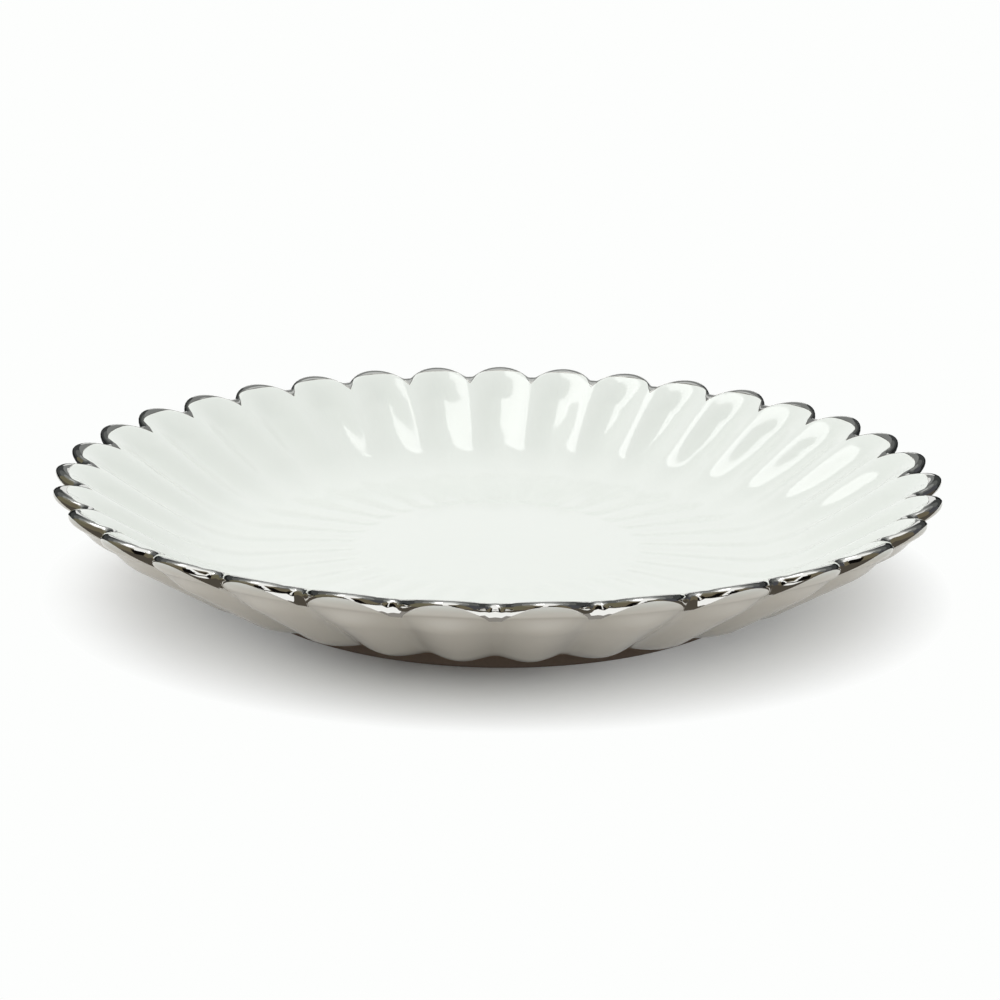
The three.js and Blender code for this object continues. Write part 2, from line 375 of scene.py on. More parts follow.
def body_tree():
    """Spins the section of the dish, swinging it from ridge to petal and back in each flute."""
    tree, given = new_tree(
        "Fluted body",
        [("Section", GEOMETRY), *PETAL_INPUTS, ("Material", "NodeSocketMaterial")],
        [("Geometry", GEOMETRY)],
    )
    count = add_node(tree, "GeometryNodeAttributeDomainSize", {}, {"Geometry": given["Section"]})
    mesh, row, petal = mesh_columns(tree, given, count.outputs["Point Count"])
    sampled = {}
    for name, kind in (
        ("ridge", "FLOAT_VECTOR"),
        ("petal", "FLOAT_VECTOR"),
        ("wave", "FLOAT"),
        ("pool", "FLOAT"),
    ):
        field = add_node(
            tree, "GeometryNodeInputNamedAttribute", {"data_type": kind}, {"Name": name}
        )
        sampled[name] = add_node(
            tree,
            "GeometryNodeSampleIndex",
            {"data_type": kind},
            {"Geometry": given["Section"], "Value": field, "Index": row},
        )
    form = petal_form(tree, sampled["wave"], petal)
    section = add_node(
        tree,
        "ShaderNodeMix",
        {"data_type": "VECTOR"},
        {"Factor": form, 4: sampled["ridge"], 5: sampled["petal"]},
    )
    pool = add_node(tree, MATH, {"operation": "MULTIPLY"}, {0: form, 1: sampled["pool"]})
    close_round(tree, mesh, section.outputs[1], petal["Turn"], given, "pool", pool)
    return tree


def silver_tree():
    """Lays a thin closed film over the lip, between a toothed inner and a scalloped outer edge."""
    tree, given = new_tree(
        "Silver band",
        [
            ("Section", GEOMETRY),
            *PETAL_INPUTS,
            ("Lip Front", FLOAT),
            ("Inside Tip", FLOAT),
            ("Inside Flank", FLOAT),
            ("Crescent Span", FLOAT),
            ("Tooth", FLOAT),
            ("Tooth Spread", FLOAT),
            ("Arch Span", FLOAT),
            ("Outside Tip", FLOAT),
            ("Outside Notch", FLOAT),
            ("Brush Wobble", FLOAT),
            ("Film", FLOAT),
            ("Rows", INT),
            ("Material", "NodeSocketMaterial"),
        ],
        [("Geometry", GEOMETRY)],
    )
    # The rows run over the band and back under it, to where they began, so the film is closed
    loop = add_node(tree, MATH, {"operation": "MULTIPLY_ADD"}, {0: given["Rows"], 1: 2.0, 2: 1.0})
    mesh, row, petal = mesh_columns(tree, given, loop)
    way = add_node(tree, MATH, {"operation": "DIVIDE"}, {0: row, 1: given["Rows"]})
    part = add_node(tree, MATH, {"operation": "PINGPONG"}, {0: way, 1: 1.0})
    under = add_node(tree, MATH, {"operation": "GREATER_THAN"}, {0: way, 1: 1.0 + ROW_GAP})
    start = add_node(tree, MATH, {"operation": "LESS_THAN"}, {0: way, 1: ROW_GAP})
    end = add_node(tree, MATH, {"operation": "GREATER_THAN"}, {0: part, 1: 1.0 - ROW_GAP})
    # The painted edges, each strayed by a slice of noise of its own
    turn = add_node(
        tree,
        "ShaderNodeVectorRotate",
        {"rotation_type": "Z_AXIS"},
        {"Vector": (1.0, 0.0, 0.0), "Angle": petal["Turn"]},
    )
    stray = []
    for slice_height in (0.0, 5.0):
        shifted = add_node(
            tree,
            "ShaderNodeVectorMath",
            {"operation": "ADD"},
            {0: turn, 1: (0.0, 0.0, slice_height)},
        )
        noise = add_node(
            tree, "ShaderNodeTexNoise", {}, {"Vector": shifted, "Scale": 16.0, "Detail": 2.0}
        )
        centred = add_node(tree, MATH, {"operation": "SUBTRACT"}, {0: noise, 1: 0.5})
        stray.append(
            add_node(tree, MATH, {"operation": "MULTIPLY"}, {0: centred, 1: given["Brush Wobble"]})
        )
    aside = add_node(tree, MATH, {"operation": "ABSOLUTE"}, {0: petal["Across"]})
    root = add_node(tree, MATH, {"operation": "SUBTRACT"}, {0: 1.0, 1: given["Tooth Spread"]})
    point = add_node(
        tree, "ShaderNodeMapRange", {}, {"Value": aside, "From Min": root, "From Max": 1.0}
    )
    sharp = add_node(tree, MATH, {"operation": "POWER"}, {0: point, 1: TOOTH_CURVE})
    side = add_node(tree, MATH, {"operation": "DIVIDE"}, {0: aside, 1: given["Crescent Span"]})
    side = add_node(tree, MATH, {"operation": "MULTIPLY"}, {0: side, 1: side})
    crescent = add_node(
        tree,
        "ShaderNodeMapRange",
        {},
        {"Value": side, "To Min": given["Inside Tip"], "To Max": given["Inside Flank"]},
    )
    inner = add_node(
        tree, MATH, {"operation": "MULTIPLY_ADD"}, {0: sharp, 1: given["Tooth"], 2: crescent}
    )
    inner = add_node(tree, MATH, {"operation": "ADD"}, {0: inner, 1: stray[0]})
    wide = add_node(tree, MATH, {"operation": "DIVIDE"}, {0: aside, 1: given["Arch Span"]})
    square = add_node(tree, MATH, {"operation": "MULTIPLY"}, {0: wide, 1: wide})
    rest = add_node(tree, MATH, {"operation": "SUBTRACT", "use_clamp": True}, {0: 1.0, 1: square})
    ellipse = add_node(tree, MATH, {"operation": "SQRT"}, {0: rest})
    outer = add_node(
        tree,
        "ShaderNodeMapRange",
        {},
        {
            "Value": ellipse,
            "To Min": given["Outside Notch"],
            "To Max": given["Outside Tip"],
        },
    )
    outer = add_node(tree, MATH, {"operation": "ADD"}, {0: outer, 1: stray[1]})
    first = add_node(tree, MATH, {"operation": "SUBTRACT"}, {0: given["Lip Front"], 1: inner})
    last = add_node(tree, MATH, {"operation": "ADD"}, {0: given["Lip Front"], 1: outer})
    path = add_node(
        tree, "ShaderNodeMix", {"data_type": "FLOAT"}, {"Factor": part, 2: first, 3: last}
    )
    # The surface under the film
    line = add_node(tree, "GeometryNodeMeshToCurve", {}, {"Mesh": given["Section"]})
    sampled = {}
    for name, kind in (("petal", "FLOAT_VECTOR"), ("wave", "FLOAT")):
        field = add_node(
            tree, "GeometryNodeInputNamedAttribute", {"data_type": kind}, {"Name": name}
        )
        sampled[name] = add_node(
            tree,
            "GeometryNodeSampleCurve",
            {"data_type": kind, "mode": "LENGTH", "use_all_curves": True},
            {"Curves": line, "Value": field, "Length": path},
        )
    form = petal_form(tree, sampled["wave"], petal)
    base = add_node(
        tree,
        "ShaderNodeMix",
        {"data_type": "VECTOR"},
        {"Factor": form, 4: sampled["petal"].outputs["Position"], 5: sampled["petal"].outputs[0]},
    )
    outward = add_node(
        tree,
        "ShaderNodeVectorMath",
        {"operation": "CROSS_PRODUCT"},
        {0: sampled["petal"].outputs["Tangent"], 1: (0.0, 1.0, 0.0)},
    )
    ends = add_node(tree, MATH, {"operation": "MAXIMUM"}, {0: start, 1: end})
    sunk = add_node(tree, MATH, {"operation": "MAXIMUM"}, {0: under, 1: ends})
    lift = add_node(
        tree,
        "ShaderNodeMapRange",
        {},
        {"Value": sunk, "To Min": given["Film"], "To Max": -FILM_FOOTING},
    )
    raised = add_node(
        tree, "ShaderNodeVectorMath", {"operation": "SCALE"}, {0: outward, "Scale": lift}
    )
    section = add_node(
        tree, "ShaderNodeVectorMath", {"operation": "ADD"}, {0: base.outputs[1], 1: raised}
    )
    close_round(tree, mesh, section, petal["Turn"], given, "band", part)
    return tree


def run_tree(name, tree, section, values):
    """Runs a tree on the section and keeps the result as a plain mesh object."""
    modifier = section.modifiers.new(name, "NODES")
    modifier.node_group = tree
    for item in tree.interface.items_tree:
        if item.in_out == "INPUT" and item.name in values:
            modifier[item.identifier] = values[item.name]
    graph = bpy.context.evaluated_depsgraph_get()
    graph.update()
    mesh = bpy.data.meshes.new_from_object(section.evaluated_get(graph))
    section.modifiers.remove(modifier)
    if not mesh.polygons:
        raise RuntimeError(f"{name} came out empty")
    mesh.name = name
    piece = bpy.data.objects.new(name, mesh)
    bpy.context.scene.collection.objects.link(piece)
    return piece


def share(value, start, end):
    """Share of the way from start to end, held between 0 and 1."""
    return min(max((value - start) / (end - start), 0.0), 1.0)


def ease(value, start, end):
    """The same share, softened at both ends."""
    part = share(value, start, end)
    return part * part * (3.0 - 2.0 * part)


def mix(a, b, part):
    """The value a share of the way from a to b."""
    return a + (b - a) * part


def spaced(start, end, steps):
    """Evenly spaced values from start up to, but without, end."""
    return [mix(start, end, step / steps) for step in range(steps)]


class Section:
    """The dish in section, through a notch where arch is 0 or through a petal where it is 1."""

    def __init__(self, shape, film, arch):
        self.shape = shape
        self.arch = arch
        self.film = film
        self.floor_top = shape.foot_height + shape.floor_thickness
        span = shape.rim_radius - shape.floor_radius
        self.bend = shape.bend_radius
        slant = math.hypot(span, shape.bowl_depth - self.bend)
        straight = math.sqrt(slant**2 - self.bend**2)
        self.slope = math.atan2(shape.bowl_depth - self.bend, span) + math.atan2(
            self.bend, straight
        )
        self.at_flute = shape.disc_radius + shape.flute_lead_in
        self.at_wall = shape.floor_radius + self.bend * self.slope
        self.at_notch = self.at_wall + straight
        self.at_tip = self.at_notch + shape.petal_reach
        self.lip_start = self.at_notch + shape.petal_reach * arch - shape.lip_rounding
        self.taper_start = self.lip_start - shape.lip_taper
        self.points = []
        self.wave = []
        self.pool = []
        self.front = 0

    def add(self, along, below, wave, pool=0.0):
        """Adds a point of the wall: along the line of the ridges, then below it, square to it."""
        turn = min(max((along - self.shape.floor_radius) / self.bend, 0.0), self.slope)
        flat = min(along, self.shape.floor_radius)
        straight = max(along - self.at_wall, 0.0)
        sine, cosine = math.sin(turn), math.cos(turn)
        radius = flat + self.bend * sine + straight * cosine + below * sine
        height = self.floor_top + self.bend * (1 - cosine) + straight * sine - below * cosine
        self.points.append((radius, 0.0, height))
        self.wave.append(wave)
        self.pool.append(pool)

    def inside(self, along):
        """Depth of the inside below the line of the ridges."""
        shape = self.shape
        floor = shape.floor_flute * ease(along, shape.disc_radius, self.at_flute)
        start = shape.floor_radius + shape.flute_rise / 2
        deeper = ease(along, start, self.at_wall + shape.flute_rise)
        wall = mix(floor, shape.wall_flute, deeper)
        lip = self.at_tip - shape.lip_rounding
        lifted = ease(along, self.at_notch - shape.lip_taper, lip)
        return self.arch * mix(wall, shape.tip_flute, lifted)

    def outside(self, along):
        """Depth of the outside, where the wall thins or swells to meet the rounded lip."""
        shape = self.shape
        to_wall = ease(along, shape.floor_radius, self.at_wall)
        lobe = shape.lobe_height * share(along, shape.floor_radius, self.at_wall)
        depth = mix(shape.floor_thickness, shape.wall_thickness, to_wall) + self.arch * lobe
        at_lip = self.inside(along) + shape.lip_thickness
        return mix(depth, at_lip, ease(along, self.taper_start, self.lip_start))

    def sunk(self, along):
        """Room for the film, so that the silver's own surface has the size of the lip."""
        return self.film * ease(along, self.taper_start, self.lip_start)

    def build(self):
        """Up the inside, over the lip, down the outside and round the foot to the axis."""
        shape = self.shape
        flute, lip, lobe = shape.flute_wave, 0.0, shape.lobe_wave
        for along in (
            *spaced(0.0, shape.disc_radius, 5),
            *spaced(shape.disc_radius, self.at_flute, 10),
            *spaced(self.at_flute, shape.floor_radius, 8),
            *spaced(shape.floor_radius, self.at_wall, 16),
            *spaced(self.at_wall, self.lip_start, 22),
        ):
            near = ease(along, self.taper_start, self.lip_start)
            depth = self.inside(along)
            pool = depth / shape.wall_flute
            self.add(along, depth + self.sunk(along), mix(flute, lip, near), pool)
        middle = self.inside(self.lip_start) + shape.lip_thickness / 2
        steps = 24
        for step in range(steps):
            tilt = math.pi * (step / steps - 0.5)
            if step == steps // 2:
                self.front = len(self.points)
            self.add(
                self.lip_start + (shape.lip_rounding - self.film) * math.cos(tilt),
                middle + (shape.lip_thickness / 2 - self.film) * math.sin(tilt),
                lip,
            )
        foot = shape.floor_radius + shape.foot_set_out
        # The outside runs down to just above the foot's edge, at this share of its set-out
        above_foot = 0.85
        lowest = shape.floor_radius + above_foot * shape.foot_set_out
        for along in (
            *spaced(self.lip_start, self.taper_start, 18),
            *spaced(self.taper_start, self.at_wall, 14),
            *spaced(self.at_wall, lowest, 14),
        ):
            near = ease(along, self.taper_start, self.lip_start)
            self.add(along, self.outside(along) - self.sunk(along), mix(lobe, lip, near))
        inner = foot - shape.foot_width - 2 * shape.foot_draft
        low = shape.foot_rounding
        # The foot ring with its rounded edges, then the flat underside
        for radius, height in (
            (foot, shape.foot_height),
            (foot - 0.6 * shape.foot_draft, 2 * low),
            (foot - shape.foot_draft, low),
            (foot - shape.foot_draft - 0.3 * low, 0.3 * low),
            (foot - shape.foot_draft - low, 0.0),
            (mix(foot, inner, 0.5), 0.0),
            (inner + shape.foot_draft + low, 0.0),
            (inner + shape.foot_draft + 0.3 * low, 0.3 * low),
            (inner + shape.foot_draft, low),
            (inner + 0.6 * shape.foot_draft, 2 * low),
            (inner, shape.foot_height - 0.7 * low),
            (inner - 0.3 * low, shape.foot_height - 0.2 * low),
            (inner - low, shape.foot_height),
            (0.5 * inner, shape.foot_height),
            (0.0, shape.foot_height),
        ):
            self.points.append((radius, 0.0, height))
            self.wave.append(lobe)
            self.pool.append(0.0)
        return self


def section_object(shape, film):
    """The section as a line of points that hold their places in a notch and in a petal."""
    notch = Section(shape, film, 0.0).build()
    petal = Section(shape, film, 1.0).build()
    mesh = bpy.data.meshes.new("dish_section")
    last = len(notch.points) - 1
    mesh.from_pydata(notch.points, [(i, i + 1) for i in range(last)], [])
    for name, kind, values in (
        ("ridge", "FLOAT_VECTOR", notch.points),
        ("petal", "FLOAT_VECTOR", petal.points),
        ("wave", "FLOAT", petal.wave),
        ("pool", "FLOAT", petal.pool),
    ):
        attribute = mesh.attributes.new(name, kind, "POINT")
        for item, value in zip(attribute.data, values):
            if kind == "FLOAT":
                item.value = value
            else:
                item.vector = value
    section = bpy.data.objects.new("dish_section", mesh)
    bpy.context.scene.collection.objects.link(section)
    places = [Vector(p) for p in notch.points[: notch.front + 1]]
    section["lip_front"] = sum((b - a).length for a, b in zip(places, places[1:]))
    return section


def panel_values(settings):
    """The settings of a panel, by the labels that the trees have for them."""
    labels = settings.bl_rna.properties
    return {labels[key].name.title(): getattr(settings, key) for key in settings.__annotations__}


def empty_material(name):
    """A material with an empty node tree."""
    material = bpy.data.materials.new(name)
    material.use_nodes = True
    material.node_tree.nodes.clear()
    return material, material.node_tree


def new_material(name):
    """A material with a Principled BSDF on its output."""
    material, tree = empty_material(name)
    shader = add_node(tree, "ShaderNodeBsdfPrincipled")
    add_node(tree, "ShaderNodeOutputMaterial", {}, {"Surface": shader})
    return material, tree, shader


def tin_glaze(finish, foot):
    """White tin glaze on fired clay: a hard, glossy coat, a little greener where it pooled, with
    the faint ripple that melted glaze sets in. The foot ring is drawn as bare clay, and its dull
    dark brown also paints in the shade under the dish.
    """
    material, tree, shader = new_material("white_tin_glaze")
    place = add_node(tree, "ShaderNodeTexCoord").outputs["Object"]
    flute = add_node(tree, "ShaderNodeAttribute", {"attribute_name": "pool"})
    # Clouds about 18 mm wide, as where the glaze was poured on more thickly
    clouds = add_node(
        tree, "ShaderNodeTexNoise", {}, {"Vector": place, "Scale": 1 / (18 * MM), "Detail": 2.0}
    )
    pooled = add_node(tree, MATH, {"operation": "MULTIPLY"}, {0: flute.outputs["Fac"], 1: clouds})
    white = add_node(
        tree,
        "ShaderNodeMix",
        {"data_type": "RGBA"},
        {"Factor": pooled, 6: linear(finish.glaze), 7: linear(finish.pooled)},
    )
    # Clay grit is about 0.3 mm, drawn at 0.8 mm so that it shows
    grit = add_node(
        tree, "ShaderNodeTexNoise", {}, {"Vector": place, "Scale": 1 / (0.8 * MM), "Detail": 3.0}
    )
    height = add_node(tree, "ShaderNodeSeparateXYZ", {}, {"Vector": place}).outputs["Z"]
    # The glaze runs out between two heights, and over a narrow edge inside the foot ring
    glaze_edge, clay_edge, ring_edge = 3.5 * MM, 3.2 * MM, 0.2 * MM
    low = add_node(
        tree,
        "ShaderNodeMapRange",
        {},
        {"Value": height, "From Min": glaze_edge, "From Max": clay_edge},
    )
    flat = add_node(
        tree, "ShaderNodeVectorMath", {"operation": "MULTIPLY"}, {0: place, 1: (1.0, 1.0, 0.0)}
    )
    out = add_node(tree, "ShaderNodeVectorMath", {"operation": "LENGTH"}, {0: flat})
    ring = add_node(
        tree,
        "ShaderNodeMapRange",
        {},
        {"Value": out.outputs["Value"], "From Min": foot - ring_edge, "From Max": foot},
    )
    bare = add_node(tree, MATH, {"operation": "MULTIPLY"}, {0: low, 1: ring})
    # The foot ring's clay, its dark brown also painting in the shade that falls under the dish
    shaded_clay = add_node(
        tree,
        "ShaderNodeMix",
        {"data_type": "RGBA"},
        {"Factor": grit, 6: linear(finish.clay), 7: linear(finish.grit)},
    )
    base = add_node(
        tree,
        "ShaderNodeMix",
        {"data_type": "RGBA"},
        {"Factor": bare, 6: white.outputs[2], 7: shaded_clay.outputs[2]},
    )
    tree.links.new(base.outputs[2], shader.inputs["Base Color"])
    gloss = add_node(
        tree, "ShaderNodeMapRange", {}, {"Value": clouds, "To Min": 0.06, "To Max": 0.12}
    )
    dull = add_node(
        tree, "ShaderNodeMix", {"data_type": "FLOAT"}, {"Factor": bare, 2: gloss, 3: 0.85}
    )
    tree.links.new(dull.outputs[0], shader.inputs["Roughness"])
    # Ripples of set glaze, 7 mm from crest to crest
    ripple = add_node(
        tree, "ShaderNodeTexNoise", {}, {"Vector": place, "Scale": 1 / (7 * MM), "Detail": 1.0}
    )
    rough = add_node(
        tree, "ShaderNodeMix", {"data_type": "FLOAT"}, {"Factor": bare, 2: ripple, 3: grit}
    )
    bump = add_node(
        tree,
        "ShaderNodeBump",
        {},
        {"Height": rough.outputs[0], "Strength": 0.25, "Distance": 0.1 * MM},
    )
    tree.links.new(bump.outputs[0], shader.inputs["Normal"])
    shader.inputs["IOR"].default_value = 1.52
    return material


def silver_lustre(finish):
    """Silver lustre fired on over glaze: a mirror with the soft waves of the glaze under it, and
    browner along the edges, where the brush left a thin coat."""
    material, tree, shader = new_material("silver_lustre")
    place = add_node(tree, "ShaderNodeTexCoord").outputs["Object"]
    band = add_node(tree, "ShaderNodeAttribute", {"attribute_name": "band"}).outputs["Fac"]
    # Brush marks about 3 mm long
    marks = add_node(
        tree, "ShaderNodeTexNoise", {}, {"Vector": place, "Scale": 1 / (3 * MM), "Detail": 3.0}
    )
    aside = add_node(tree, MATH, {"operation": "MULTIPLY_ADD"}, {0: band, 1: 2.0, 2: -1.0})
    far = add_node(tree, MATH, {"operation": "ABSOLUTE"}, {0: aside})
    edge = add_node(
        tree,
        "ShaderNodeMapRange",
        {"interpolation_type": "SMOOTHSTEP"},
        {"Value": far, "From Min": 0.8, "From Max": 1.0},
    )
    thin = add_node(tree, MATH, {"operation": "MULTIPLY"}, {0: edge, 1: marks})
    base = add_node(
        tree,
        "ShaderNodeMix",
        {"data_type": "RGBA"},
        {"Factor": thin, 6: linear(finish.silver), 7: linear(finish.thin_silver)},
    )
    tree.links.new(base.outputs[2], shader.inputs["Base Color"])
    # Waves of the glaze under the film, 5 mm from crest to crest
    waves = add_node(
        tree, "ShaderNodeTexNoise", {}, {"Vector": place, "Scale": 1 / (5 * MM), "Detail": 1.0}
    )
    bump = add_node(
        tree, "ShaderNodeBump", {}, {"Height": waves, "Strength": 0.5, "Distance": 0.2 * MM}
    )
    tree.links.new(bump.outputs[0], shader.inputs["Normal"])
    shader.inputs["Metallic"].default_value = 1.0
    shader.inputs["Roughness"].default_value = 0.0
    return material


class GlazedBody(bpy.types.Operator):
    """Makes the fluted ceramic body in place of its CAD node"""

    bl_idname = "snack_dish.glazed_body"
    bl_label = "Glazed body"

    def execute(self, context):
        scene = context.scene
        shape = scene.dish_shape
        petal_tree()
        section = section_object(shape, scene.silver_shape.film)
        foot = shape.floor_radius + shape.foot_set_out - shape.foot_width - 2 * shape.foot_draft
        values = {**panel_values(shape), "Material": tin_glaze(scene.dish_finish, foot)}
        piece = run_tree("glazed_body", body_tree(), section, values)
        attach(piece, BODY)
        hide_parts("dish_body")
        return {"FINISHED"}


class SilverBand(bpy.types.Operator):
    """Makes the silver lustre band on the lip in place of its CAD node"""

    bl_idname = "snack_dish.silver_band"
    bl_label = "Silver band"

    def execute(self, context):
        scene = context.scene
        section = bpy.data.objects["dish_section"]
        values = {
            **panel_values(scene.dish_shape),
            **panel_values(scene.silver_shape),
            "Lip Front": section["lip_front"],
            "Material": silver_lustre(scene.dish_finish),
        }
        piece = run_tree("silver_band", silver_tree(), section, values)
        bpy.data.objects.remove(section)
        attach(piece, BODY)
        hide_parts("silver_rim")
        return {"FINISHED"}


def seen_rays(tree):
    """1 for rays that show the background: those of the camera, of gloss and through glass."""
    path = add_node(tree, "ShaderNodeLightPath").outputs
    gloss = add_node(
        tree,
        MATH,
        {"operation": "MAXIMUM"},
        {0: path["Is Glossy Ray"], 1: path["Is Transmission Ray"]},
    )
    return add_node(tree, MATH, {"operation": "MAXIMUM"}, {0: path["Is Camera Ray"], 1: gloss})


# The floor glows white to the eye by a share that grows away from the axis, which paints light over
# the cast shadow: the shadow lies in an oval round the axis, and fades out between two distances in
# metres. In gloss it starts to fade further out, so that the lobes mirror more of it.
SHADOW_OVAL = (0.95, 1.08, 1.0)
SHADOW_START, SHADOW_START_IN_GLOSS, SHADOW_END = 0.06, 0.09, 0.105
SHADOW_CURVE = 2.5
# It is darkest on a line left of the middle, and the glow paints it paler by a share towards both
# sides
SHADOW_MIDDLE, SHADOW_DARK_HALF, SHADOW_PALE_HALF, SHADOW_PALER = -0.011, 0.005, 0.05, 0.2
# Up to the first distance the floor gives back the least light, which paints shade onto the foot
# and the bottoms of the lobes; from the second on the most
CONTACT_START, CONTACT_END = 0.064, 0.085


def paper_sweep(stage):
    """White paper sweep: matt, white to the eye, paler far off, and giving back a duller light."""
    material, tree = empty_material("paper_sweep")
    seen = seen_rays(tree)
    place = add_node(tree, "ShaderNodeTexCoord").outputs["Object"]
    oval = add_node(tree, "ShaderNodeMapping", {}, {"Vector": place, "Scale": SHADOW_OVAL})
    out = add_node(tree, "ShaderNodeVectorMath", {"operation": "LENGTH"}, {0: oval})
    out = out.outputs["Value"]
    open_floor = add_node(
        tree,
        "ShaderNodeMapRange",
        {},
        {"Value": out, "From Min": CONTACT_START, "From Max": CONTACT_END},
    )
    # Painted shade: right beside the foot the floor gives back a darker light
    bounce = add_node(
        tree,
        "ShaderNodeMix",
        {"data_type": "RGBA"},
        {"Factor": open_floor, 6: linear(stage.floor_contact_shade), 7: linear(stage.floor_bounce)},
    )
    paper = add_node(
        tree,
        "ShaderNodeMix",
        {"data_type": "RGBA"},
        {"Factor": seen, 6: bounce.outputs[2], 7: linear(stage.floor)},
    )
    near = add_node(tree, "ShaderNodeBsdfDiffuse", {}, {"Color": paper.outputs[2]})
    far = add_node(tree, "ShaderNodeEmission", {}, {"Color": linear(stage.floor), "Strength": 1.0})
    gloss = add_node(tree, "ShaderNodeLightPath").outputs["Is Glossy Ray"]
    start = add_node(
        tree,
        "ShaderNodeMapRange",
        {},
        {"Value": gloss, "To Min": SHADOW_START, "To Max": SHADOW_START_IN_GLOSS},
    )
    away = add_node(
        tree, "ShaderNodeMapRange", {}, {"Value": out, "From Min": start, "From Max": SHADOW_END}
    )
    fade = add_node(tree, MATH, {"operation": "POWER"}, {0: away, 1: SHADOW_CURVE})
    across = add_node(tree, "ShaderNodeSeparateXYZ", {}, {"Vector": place}).outputs["X"]
    across = add_node(tree, MATH, {"operation": "ADD"}, {0: across, 1: -SHADOW_MIDDLE})
    across = add_node(tree, MATH, {"operation": "ABSOLUTE"}, {0: across})
    aside = add_node(
        tree,
        "ShaderNodeMapRange",
        {"interpolation_type": "SMOOTHSTEP"},
        {
            "Value": across,
            "From Min": SHADOW_DARK_HALF,
            "From Max": SHADOW_PALE_HALF,
            "To Max": SHADOW_PALER,
        },
    )
    fade = add_node(
        tree, "ShaderNodeMix", {"data_type": "FLOAT"}, {"Factor": fade, 2: aside, 3: 1.0}
    )
    pale = add_node(tree, MATH, {"operation": "MULTIPLY"}, {0: fade, 1: seen})
    both = add_node(tree, "ShaderNodeMixShader", {}, {0: pale, 1: near, 2: far})
    add_node(tree, "ShaderNodeOutputMaterial", {}, {"Surface": both})
    return material


def flat_stage(name, corners, faces, material):
    """A piece of the stage from its corners."""
    mesh = bpy.data.meshes.new(name)
    mesh.from_pydata(corners, [], faces)
    mesh.materials.append(material)
    piece = bpy.data.objects.new(name, mesh)
    bpy.context.scene.collection.objects.link(piece)
    return piece


def area_lamp(name, place, size, radiance, spin=0.0):
    """A soft lamp that faces the dish. Its power follows from its size and brightness."""
    lamp = bpy.data.lights.new(name, "AREA")
    lamp.shape = "RECTANGLE"
    lamp.size, lamp.size_y = size
    lamp.energy = math.pi * size[0] * size[1] * radiance
    piece = bpy.data.objects.new(name, lamp)
    faced = (-Vector(place)).to_track_quat("-Z", "Y").to_matrix().to_4x4()
    turned = Matrix.Rotation(math.radians(spin), 4, "Z")
    piece.matrix_world = Matrix.Translation(place) @ faced @ turned
    piece.visible_camera = False
    bpy.context.scene.collection.objects.link(piece)
    return piece


def mirror_only(name, corners, faces, shade):
    """A piece of the stage that shows in the mirror of the silver and nowhere else."""
    material, tree = empty_material("matt_card")
    mirror = add_node(tree, "ShaderNodeLightPath").outputs["Is Singular Ray"]
    clear = add_node(tree, "ShaderNodeBsdfTransparent")
    look = add_node(tree, "ShaderNodeEmission", {}, {"Color": linear(shade), "Strength": 1.0})
    both = add_node(tree, "ShaderNodeMixShader", {}, {0: mirror, 1: clear, 2: look})
    add_node(tree, "ShaderNodeOutputMaterial", {}, {"Surface": both})
    piece = flat_stage(name, corners, faces, material)
    piece.visible_camera = False
    piece.visible_diffuse = False
    piece.visible_shadow = False


def dark_mat(middle, width, near, far):
    """The corners and faces of a mat beside the dish, which the underside of the lip mirrors."""
    steps = 48
    turns = [math.radians(middle + width * (step / steps - 0.5)) for step in range(steps + 1)]
    corners = [(r * math.cos(t), r * math.sin(t), MM) for r in (near, far) for t in turns]
    faces = [(a, a + 1, steps + a + 2, steps + a + 1) for a in range(steps)]
    return corners, faces


